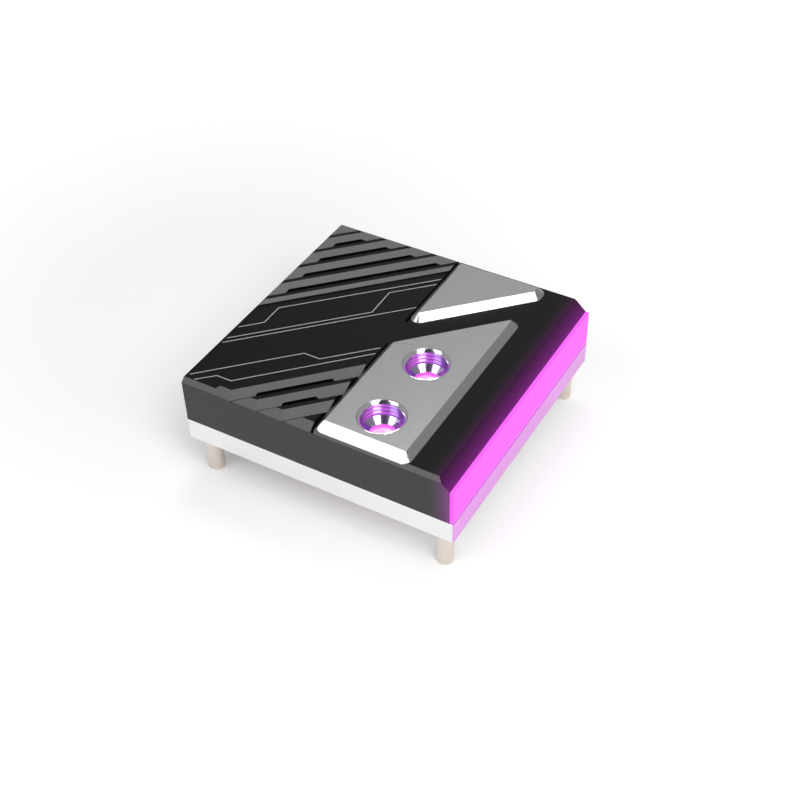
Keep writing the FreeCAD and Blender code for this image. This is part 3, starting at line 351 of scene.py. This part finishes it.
def rubber_finish():
    f = Finish("seal_rubber", (0.02, 0.02, 0.021), 0.6)
    speck = f.noise(3000.0, 3.0)
    f.put("Roughness", f.spread(speck, 0.5, 0.7))
    f.bump(speck, 0.2, 0.03 * MM)
    return f


def diffuser_finish():
    """Frosted strip lit from behind: paler along its foot."""
    f = Finish("lit_diffuser", (0.06, 0.02, 0.06), 0.5)
    z = f.parts(f.place())[2]
    upper = f.ramp(z, STRIP_HIGH.z - 1.6 * MM, STRIP_HIGH.z)
    foot = 1.0 - f.ramp(z, STRIP_LOW.z, STRIP_LOW.z + 2.2 * MM)
    core = f.mix(f.noise(120.0), (0.84, 0.07, 0.87), (0.88, 0.09, 0.91))
    core = f.mix(foot * 0.5, core, (0.82, 0.20, 0.90))
    f.glow(f.mix(upper * 0.5, core, (0.90, 0.12, 0.92)))
    return f


def acrylic_finish():
    """Clear acrylic carrying pink light, seen down the two ports: pink
    where the bore meets the insert, paling to white further down."""
    f = Finish("lit_acrylic", (0.10, 0.05, 0.10), 0.15)
    swirl = f.noise(350.0, 3.0)
    z = f.parts(f.place())[2]
    rise = f.ramp(z, PLATE_Z - 9.6 * MM, PLATE_Z - 8.2 * MM)
    pale = f.mix(f.ramp(swirl, 0.40, 0.60), (0.92, 0.46, 0.90),
                 (0.98, 0.78, 0.96))
    f.glow(f.mix(rise, pale, (1.0, 0.22, 0.95)))
    f.put("Roughness", f.spread(swirl, 0.1, 0.3))
    return f


def copper_finish():
    f = Finish("polished_copper", (0.80, 0.42, 0.28), 0.2, 1.0)
    lay = f.noise(700.0, 3.0, (1.0, 14.0, 1.0))
    f.put("Roughness", f.spread(lay, 0.14, 0.28))
    f.put("Base Color", f.mix(f.noise(90.0), (0.76, 0.38, 0.25),
                              (0.84, 0.46, 0.32)))
    f.bump(lay, 0.06, 0.02 * MM)
    return f


def plastic_finish(name, colour, low, high, light=None):
    f = Finish(name, colour, 0.4)
    speck = f.noise(2500.0)
    f.put("Roughness", f.spread(speck, low, high))
    f.put("Base Color", f.mix(speck, tinted(colour, 0.9), colour))
    f.bump(speck, 0.08, 0.02 * MM)
    if light:
        f.glow(light)
    return f


COVER = cover_finish()
SILVER = blasted_finish("blasted_silver", (0.60, 0.60, 0.605), 0.27, 0.33)
NICKEL = frame_finish()
LEG = turned_finish("turned_nickel", (0.78, 0.71, 0.65), 0.26, 0.40)
PORT = turned_finish("bright_nickel", (0.86, 0.86, 0.88), 0.05, 0.10)
LINE = plastic_finish("etched_line", (0.45, 0.45, 0.455), 0.5, 0.6)
COPPER = copper_finish()
RUBBER = rubber_finish()
STEEL = brushed_finish("jet_steel", (0.60, 0.60, 0.61), 0.22, 0.34,
                       (1.0, 16.0, 1.0))
ACRYLIC = acrylic_finish()
DIFFUSER = diffuser_finish()
BOARD = plastic_finish("white_board", (0.85, 0.85, 0.84), 0.35, 0.5)
LAMP = plastic_finish("lamp_body", (0.95, 0.85, 0.95), 0.3, 0.4,
                      (1.0, 0.4, 1.0))
SOCKET = plastic_finish("socket_plastic", (0.03, 0.03, 0.03), 0.4, 0.55)
SCREW = turned_finish("black_oxide", (0.06, 0.06, 0.06), 0.32, 0.46)

FINISH_OF = {
    "mounting_frame": NICKEL, "standoff_front_left": LEG,
    "standoff_front_right": LEG, "standoff_rear_left": LEG,
    "standoff_rear_right": LEG, "cold_plate": COPPER,
    "cold_plate_seal": RUBBER, "jet_plate": STEEL, "jet_gasket": RUBBER,
    "flow_body": ACRYLIC, "flow_plug": PORT, "inlet_port": PORT,
    "outlet_port": PORT, "inlet_port_seal": RUBBER,
    "outlet_port_seal": RUBBER, "top_cover": COVER, "port_plate": SILVER,
    "accent_plate": SILVER, "light_strip": DIFFUSER, "led_board": BOARD,
    "led_chips": LAMP, "led_socket": SOCKET, "cover_screws": SCREW,
    "cold_plate_screws": SCREW, "port_plate_screws": SCREW,
    "accent_plate_screws": SCREW,
}
for name, finish in FINISH_OF.items():
    paint(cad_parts[name], finish)


# ---------------------------------------------------------------- modelling
SMOOTH_ANGLE = math.radians(8.5)   # under the louvres' own slope


def nothing_selected():
    if bpy.context.mode != "OBJECT":
        bpy.ops.object.mode_set(mode="OBJECT")
    bpy.ops.object.select_all(action="DESELECT")


def make_active(thing):
    nothing_selected()
    thing.select_set(True)
    bpy.context.view_layer.objects.active = thing


def edit_all(thing):
    """Opens a piece in edit mode with all of it selected."""
    make_active(thing)
    bpy.ops.object.mode_set(mode="EDIT")
    bpy.ops.mesh.select_all(action="SELECT")


def face_outwards(thing):
    edit_all(thing)
    bpy.ops.mesh.normals_make_consistent(inside=False)
    bpy.ops.object.mode_set(mode="OBJECT")


def settle(thing, finish):
    """Rides a finished piece on the block and gives it finish and slot."""
    make_active(thing)
    bpy.ops.object.transform_apply(location=True, rotation=True, scale=True)
    paint(thing, finish)
    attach(thing, "root")
    nothing_selected()


def machined(node):
    """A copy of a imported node, merged and with its flat faces joined."""
    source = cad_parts[node]
    piece = bpy.data.objects.new(node + "_deburred", source.data.copy())
    bpy.context.scene.collection.objects.link(piece)
    edit_all(piece)
    bpy.ops.mesh.remove_doubles(threshold=0.002 * MM)
    bpy.ops.mesh.dissolve_limited(angle_limit=math.radians(0.5))
    bpy.ops.object.mode_set(mode="OBJECT")
    if piece.data.has_custom_normals:
        bpy.ops.mesh.customdata_custom_splitnormals_clear()
    return piece


def deburred(piece, node, width, segments=2):
    """Breaks a machined piece's edges and puts it in its node's place."""
    make_active(piece)
    edge = piece.modifiers.new("deburr", "BEVEL")
    edge.width = width
    edge.segments = segments
    edge.limit_method = "ANGLE"
    edge.angle_limit = math.radians(28.0)
    edge.use_clamp_overlap = True
    edge.miter_outer = "MITER_ARC"
    bpy.ops.object.modifier_apply(modifier="deburr")
    bpy.ops.object.shade_smooth_by_angle(angle=SMOOTH_ANGLE)
    settle(piece, FINISH_OF[node])
    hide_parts(node)


def outline(name, points):
    """A closed loop of edges through points, given in metres."""
    nothing_selected()
    bpy.ops.mesh.primitive_circle_add(vertices=len(points), radius=0.01)
    piece = bpy.context.active_object
    piece.name = name
    for vertex, point in zip(piece.data.vertices, points):
        vertex.co = point
    return piece


def hull(name, points):
    """The closed convex block that has these corner points."""
    block = outline(name, points)
    edit_all(block)
    bpy.ops.mesh.convex_hull()
    bpy.ops.mesh.normals_make_consistent(inside=False)
    bpy.ops.object.mode_set(mode="OBJECT")
    return block


def carve(piece, tool, operation="DIFFERENCE"):
    """Cuts a tool from a piece, or joins it on, and removes the tool."""
    make_active(piece)
    cut = piece.modifiers.new("carve", "BOOLEAN")
    cut.operation = operation
    cut.solver = "EXACT"
    cut.object = tool
    bpy.ops.object.modifier_apply(modifier="carve")
    bpy.data.objects.remove(tool)


# ---------------------------------------------------------------- cover
# Millimetres from the cover's left and front faces. The louvres run at 45
# degrees, so each has one offset, its y minus its x.
FIRST_CREST = -13.3       # offset of the first front groove's long side
LOUVRE_PITCH = 8.6
LONG_RUN = 3.9            # the long side of a front groove, across it
STEEP_RUN = 2.6           # its steep side
LOUVRE_END_X = 43.32      # the front louvres stop at the port plate
FRONT_Y = 0.01            # just behind the front face


def groove_foot(k):
    """Offset of the bottom of the k-th front groove."""
    return FIRST_CREST - LOUVRE_PITCH * k - LONG_RUN


def along_rib(profile, start, end):
    """Corner points of a bar along the louvres. The profile is offsets and
    heights; start and end give the plan point at an offset."""
    points = []
    for offset, z in profile:
        for x, y in (start(offset), end(offset)):
            points.append(at(x, y, z))
    return points


def raise_lands(cover):
    """Fills the front corner up to the lands, out to the front face."""
    start_x, end_y = -FIRST_CREST, LOUVRE_END_X + FIRST_CREST
    foot_z = EDGE_Z - 0.8 * MM
    corners = (
        (BEVEL_RUN + start_x, BEVEL_RUN, LAND_Z),
        (LOUVRE_END_X, BEVEL_RUN, LAND_Z),
        (LOUVRE_END_X, end_y, LAND_Z),
        (start_x, FRONT_Y, EDGE_Z),
        (LOUVRE_END_X, FRONT_Y, EDGE_Z),
        (start_x, FRONT_Y, foot_z),
        (LOUVRE_END_X, FRONT_Y, foot_z),
        (LOUVRE_END_X, end_y, foot_z),
    )
    carve(cover, hull("lands", [at(*c) for c in corners]), "UNION")


def cut_front_bevel(cover):
    """One even bevel along the front of field and louvres."""
    rise = (CREST_Z - EDGE_Z) / BEVEL_RUN
    corners = []
    for x in (-1.0, LOUVRE_END_X):
        for y in (-0.5, 2.9):
            corners += [at(x, y, EDGE_Z + rise * y),
                        at(x, y, CREST_Z + 2.0 * MM)]
    carve(cover, hull("bevel", corners))


def cut_behind_bevel(cover):
    """The field runs on to the bevel, with no raised rim between them."""
    left_x, back_y = 8.0, 3.3
    corners = []
    for z in (FIELD_Z + 0.004 * MM, CREST_Z + 1.0 * MM):
        corners += [at(left_x, BEVEL_RUN, z),
                    at(BEVEL_RUN - FIRST_CREST, BEVEL_RUN, z),
                    at(back_y - FIRST_CREST, back_y, z),
                    at(left_x, back_y, z)]
    carve(cover, hull("rim_back", corners))


def cut_grooves(cover):
    """Three grooves with a long and a steep side, open at the front."""
    past = 0.2    # the cutter's sides go on past the crests by this part
    fall = CREST_Z - GROOVE_Z
    for k in range(3):
        foot = groove_foot(k)
        high = CREST_Z + fall * past
        profile = ((foot, GROOVE_Z), (foot + LONG_RUN * (1.0 + past), high),
                   (foot - STEEP_RUN * (1.0 + past), high))
        carve(cover, hull("groove", along_rib(
            profile, lambda c: (-1.0 - c, -1.0), lambda c: (43.8, 43.8 + c))))


def cut_notch(cover, name, sides, depth, start, end):
    """An upright-walled cut along a groove; sides are its two offsets."""
    profile = [(side, z) for side in sides
               for z in (GROOVE_Z - depth * MM, CREST_Z + 0.5 * MM)]
    carve(cover, hull(name, along_rib(profile, start, end)))


def cut_slots(cover):
    """Slots in the first two grooves, each from an x to a y."""
    for k, start_x, end_y in ((0, 22.0, 21.2), (1, 30.6, 12.6)):
        foot = groove_foot(k)
        cut_notch(cover, "slot", (foot + 1.2, foot - 1.9), 0.9,
                  lambda c: (start_x, start_x + c),
                  lambda c: (end_y - c, end_y))


def cut_foot_lines(cover):
    """A thin cut along each groove's bottom, from the front to an x."""
    for k, end_x in enumerate((24.0, 32.0, LOUVRE_END_X)):
        foot = groove_foot(k)
        cut_notch(cover, "foot_cut", (foot + 0.22, foot - 0.22), 0.55,
                  lambda c: (-0.5 - c, -0.5), lambda c: (end_x, end_x + c))


def raise_last_upper_rib(cover):
    """The short rib at the field's edge has the slope of its neighbours."""
    crest, toe = 40.42, 37.8
    sunk = FIELD_Z - 0.1 * MM
    profile = ((crest, CREST_Z), (toe, CREST_Z - 0.32 * MM),
               (toe, sunk), (crest, sunk))
    carve(cover, hull("rib", along_rib(
        profile, lambda c: (0.9, 0.9 + c), lambda c: (43.0, 43.0 + c))),
        "UNION")


def trench_stop():
    """The small web that closes the rear trench at the cover's back edge."""
    bpy.ops.mesh.primitive_cube_add(size=1.0)
    stop = bpy.context.active_object
    stop.name = "trench_stop"
    low = at(42.75, 86.0, FIELD_Z - 1.2 * MM)
    high = at(43.40, 86.58, FIELD_Z - 0.02 * MM)
    stop.scale = high - low
    stop.location = (low + high) / 2.0
    settle(stop, COVER)


def make_cover():
    cover = machined("top_cover")
    raise_lands(cover)
    cut_front_bevel(cover)
    cut_behind_bevel(cover)
    cut_grooves(cover)
    cut_slots(cover)
    cut_foot_lines(cover)
    raise_last_upper_rib(cover)
    deburred(cover, "top_cover", 0.10 * MM)
    trench_stop()


# ---------------------------------------------------------------- ports
# half section of an insert: radius and depth under its top, in millimetres,
# from the flange's collar over the lip and down the inside
INSERT_PROFILE = (
    (6.95, 6.42), (6.95, 0.10), (6.86, 0.02), (6.74, 0.0), (6.66, 0.04),
    (6.02, 0.88), (5.98, 0.94),                               # countersink
    (6.30, 1.15), (6.30, 4.70),                               # thread wall
    (5.80, 4.78), (5.74, 4.84), (4.05, 6.55), (3.98, 6.62),   # cone
    (3.98, 8.25), (4.12, 8.40),                               # bore
)
FLANGE_HEIGHT = 1.98
THREAD_PITCH = 1.337
THREAD_TURNS = 2.4
THREAD_DROP = 4.45                    # depth of the lowest turn's start
# a thread turn's section: radius, and height about the turn's middle
THREAD_PROFILE = ((6.36, -0.62), (5.78, -0.07), (5.78, 0.07), (6.36, 0.62))
THREAD_START = math.radians(20.0)


def turned(piece, turns=1.0, rise=0.0, steps=96):
    """Sweeps a section about Z: a full turn closes, a helix gets caps."""
    make_active(piece)
    sweep = piece.modifiers.new("sweep", "SCREW")
    sweep.angle = math.tau * turns
    sweep.screw_offset = rise
    sweep.steps = sweep.render_steps = steps
    sweep.use_merge_vertices = rise == 0.0
    sweep.merge_threshold = 0.002 * MM
    bpy.ops.object.modifier_apply(modifier="sweep")
    edit_all(piece)
    if rise == 0.0:
        bpy.ops.mesh.remove_doubles(threshold=0.001 * MM)
    else:
        bpy.ops.mesh.fill_holes(sides=len(piece.data.vertices))
    face_outwards(piece)
    bpy.ops.object.shade_smooth_by_angle(angle=math.radians(30.0))
    return piece


def port_insert(node):
    """Polished insert: lip, countersink, thread turns, cone and bore."""
    low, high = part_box(node)
    middle = (low + high) / 2.0
    flange = (high.x - low.x) / 2.0
    points = [(flange, 0.0, low.z), (flange, 0.0, low.z + FLANGE_HEIGHT * MM)]
    points += [(r * MM, 0.0, high.z - drop * MM) for r, drop in INSERT_PROFILE]
    body = turned(outline(node + "_insert", points))
    thread_z = high.z - THREAD_DROP * MM
    thread = outline(node + "_thread", [
        (r * MM, 0.0, thread_z + up * MM) for r, up in THREAD_PROFILE])
    turned(thread, THREAD_TURNS, THREAD_PITCH * THREAD_TURNS * MM, 200)
    thread.rotation_euler.z = THREAD_START
    make_active(thread)
    bpy.ops.object.transform_apply(rotation=True)
    body.select_set(True)
    bpy.context.view_layer.objects.active = body
    bpy.ops.object.join()
    body.location = (middle.x, middle.y, 0.0)
    settle(body, port_finish("polished_" + node, middle, high.z))
    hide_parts(node)


# ---------------------------------------------------------------- lines
LINE_WIDTH = 0.28 * MM
LINE_HEIGHT = 0.05 * MM
# plan points in millimetres from the cover's left and front faces
LINES = (
    ((42.6, 76.1), (6.3, 40.5), (6.4, 32.7), (0.9, 27.2)),
    ((42.6, 73.2), (31.9, 62.7), (32.1, 52.0), (0.9, 21.4)),
    ((42.6, 60.2), (0.9, 19.1)),
    ((42.8, 38.9), (29.9, 26.3), (24.6, 26.3), (0.9, 3.0)),
    ((42.8, 36.0), (12.9, 6.2), (8.1, 6.2), (3.4, 1.8)),
)


def mitred_sides(spots):
    """The left and right edge points of a line, square at its ends."""
    sides = []
    for k, spot in enumerate(spots):
        before = (spot - spots[k - 1]).normalized() if k else None
        after = (spots[k + 1] - spot).normalized() if k + 1 < len(spots) \
            else before
        before = before or after
        mid = (before + after).normalized()
        half = LINE_WIDTH / 2.0 / mid.dot(after)
        out = Vector((-mid.y, mid.x)) * half
        sides.append((spot + out, spot - out))
    return sides


def lengthen(piece, end, left, right):
    """Extrudes a ribbon's end edge on to two new plan points."""
    bpy.ops.object.mode_set(mode="EDIT")
    bpy.ops.mesh.select_mode(type="VERT")
    bpy.ops.mesh.select_all(action="DESELECT")
    bpy.ops.object.mode_set(mode="OBJECT")
    for k in end:
        piece.data.vertices[k].select = True
    old_right = piece.data.vertices[end[0]].co.copy()
    bpy.ops.object.mode_set(mode="EDIT")
    bpy.ops.mesh.extrude_edges_move()
    bpy.ops.object.mode_set(mode="OBJECT")
    vertices = piece.data.vertices
    fresh = [v.index for v in vertices if v.select]
    new_right = min(fresh, key=lambda k: (vertices[k].co - old_right).length)
    new_left = [k for k in fresh if k != new_right][0]
    vertices[new_right].co = (right.x, right.y, 0.0)
    vertices[new_left].co = (left.x, left.y, 0.0)
    return [new_right, new_left]


def ribbon(name, points):
    """A thin inlaid line through plan points, mitred where it turns."""
    sides = mitred_sides([Vector(point).to_2d() for point in points])
    nothing_selected()
    bpy.ops.mesh.primitive_plane_add(size=1.0)
    piece = bpy.context.active_object
    piece.name = name
    corners = (sides[0][1], sides[1][1], sides[0][0], sides[1][0])
    for vertex, spot in zip(piece.data.vertices, corners):
        vertex.co = (spot.x, spot.y, 0.0)
    end = [1, 3]
    for left, right in sides[2:]:
        end = lengthen(piece, end, left, right)
    make_active(piece)
    thick = piece.modifiers.new("thickness", "SOLIDIFY")
    thick.thickness = LINE_HEIGHT
    thick.offset = 0.0
    bpy.ops.object.modifier_apply(modifier="thickness")
    face_outwards(piece)
    return piece


def etched_lines():
    """Thin plain lines beside the louvres, like traces on a board."""
    made = [ribbon("line_%d" % (k + 1), [at(x, y) for x, y in plan])
            for k, plan in enumerate(LINES)]
    make_active(made[0])
    for piece in made[1:]:
        piece.select_set(True)
    bpy.ops.object.join()
    lines = bpy.context.active_object
    lines.name = "etched_lines"
    lines.location = (0.0, 0.0, FIELD_Z)
    settle(lines, LINE)


# node, width of its broken edges in millimetres, and their segments
BROKEN_EDGES = (("port_plate", 0.16, 2), ("accent_plate", 0.16, 2),
                ("mounting_frame", 0.30, 3), ("light_strip", 0.15, 2))
make_cover()
for node, width, segments in BROKEN_EDGES:
    deburred(machined(node), node, width * MM, segments)
port_insert("inlet_port")
port_insert("outlet_port")
etched_lines()


# ---------------------------------------------------------------- stage
# the floor is lifted least beside the block's left, in its soft shadow
SHADOW_MIDDLE = (-0.07, 0.02, 0.0)
SHADOW_NEAR, SHADOW_FAR = 0.06, 0.20
LIFT_NEAR, LIFT_FAR = 0.13, 0.36
# the sky: brighter low at the back, where the plates mirror it, and held
# back at the front right, where the ports' cones do
SKY_FILL, SKY_BACK, SKY_HELD = 0.30, 0.52, 0.12
BACK_WAY, BACK_EDGE, BACK_CORE = (-0.33, 0.80, 0.50), 0.955, 0.995
FRONT_WAY, FRONT_EDGE, FRONT_CORE = (0.38, -0.64, 0.67), 0.80, 0.97
# name, place, size in metres and power in watts
LAMPS = (
    ("overhead", (-0.14, 0.38, 0.95), (0.36, 0.30), 1.8),
    ("front_left", (-0.45, -0.73, 0.82), (0.60, 0.60), 3.0),
    ("front_right", (0.62, -0.35, 0.74), (0.45, 0.45), 4.2),
    ("top_fill", (0.33, -0.08, 1.15), (0.50, 0.50), 3.0),
)
LAMP_AIM = Vector((0.0, 0.0, 0.03))
# azimuth, elevation and roll in degrees, place in metres, lens in mm
VIEW_ANGLES = (30.9, 42.03, 1.61)
VIEW_PLACE = (0.15787, -0.25975, 0.28558)
LENS, SENSOR = 60.75, 36.0


def make_floor():
    """A pale matt floor, lifted to white to the eye and in reflections."""
    bpy.ops.mesh.primitive_plane_add(size=12.0, location=(0.0, 0.0, 0.0))
    floor = bpy.context.active_object
    floor.name = "studio_floor"
    f = Finish("pale_floor", (0.82, 0.82, 0.82), 0.9)
    paint(floor, f)
    seen = f.larger(f.ray("Is Camera Ray"), f.ray("Is Glossy Ray"))
    away = f.node("ShaderNodeVectorMath", {"operation": "DISTANCE"},
                  {0: f.place(), 1: SHADOW_MIDDLE}, out="Value")
    lift = f.ramp(away, SHADOW_NEAR, SHADOW_FAR, LIFT_NEAR, LIFT_FAR)
    light = f.node("ShaderNodeEmission", None,
                   {"Color": WHITE, "Strength": seen * lift})
    both = f.node("ShaderNodeAddShader", None, {0: f.surface, 1: light})
    f.feed(f.output.inputs[0], both)


def make_world():
    """Soft fill, brighter low at the back and held back at the front right,
    and plain white as a background.
    """
    world = bpy.data.worlds.new("studio")
    bpy.context.scene.world = world
    world.use_nodes = True
    sky = Shading(world.node_tree)
    way = sky.node("ShaderNodeTexCoord", out="Generated")

    def toward(direction):
        return sky.node("ShaderNodeVectorMath", {"operation": "DOT_PRODUCT"},
                        {0: way, 1: direction}, out="Value")

    strength = sky.ramp(toward(BACK_WAY), BACK_EDGE, BACK_CORE,
                        SKY_FILL, SKY_BACK)
    strength = strength * sky.ramp(toward(FRONT_WAY), FRONT_EDGE, FRONT_CORE,
                                   1.0, SKY_HELD)
    fill = sky.node("ShaderNodeBackground", None,
                    {"Color": WHITE, "Strength": strength})
    plain = sky.node("ShaderNodeBackground", None,
                     {"Color": WHITE, "Strength": 1.0})
    mixed = sky.node("ShaderNodeMixShader", None,
                     {0: sky.ray("Is Camera Ray"), 1: fill, 2: plain})
    sky.node("ShaderNodeOutputWorld", None, {0: mixed})


def make_lights():
    for name, spot, size, power in LAMPS:
        data = bpy.data.lights.new(name, "AREA")
        data.shape = "RECTANGLE"
        data.size, data.size_y = size
        data.energy = power
        thing = bpy.data.objects.new(name, data)
        bpy.context.scene.collection.objects.link(thing)
        thing.location = spot
        thing.rotation_euler = (LAMP_AIM - Vector(spot)).to_track_quat(
            "-Z", "Y").to_euler()


def make_camera():
    """Three-quarter view from the front right, about 42 degrees above."""
    azimuth, elevation, roll = (math.radians(a) for a in VIEW_ANGLES)
    back = Vector((math.sin(azimuth) * math.cos(elevation),
                   -math.cos(azimuth) * math.cos(elevation),
                   math.sin(elevation)))
    level = (-back).cross(Vector((0, 0, 1))).normalized()
    up = level.cross(-back)
    right = math.cos(roll) * level - math.sin(roll) * up
    up = right.cross(-back)
    data = bpy.data.cameras.new("camera")
    data.sensor_width = SENSOR
    data.lens = LENS
    data.clip_start = 0.01
    data.clip_end = 20.0
    thing = bpy.data.objects.new("camera", data)
    bpy.context.scene.collection.objects.link(thing)
    turn = Matrix((right, up, back)).transposed().to_4x4()
    turn.translation = Vector(VIEW_PLACE)
    thing.matrix_world = turn
    bpy.context.scene.camera = thing


make_floor()
make_world()
make_lights()
make_camera()
bpy.context.scene.view_settings.view_transform = "Standard"
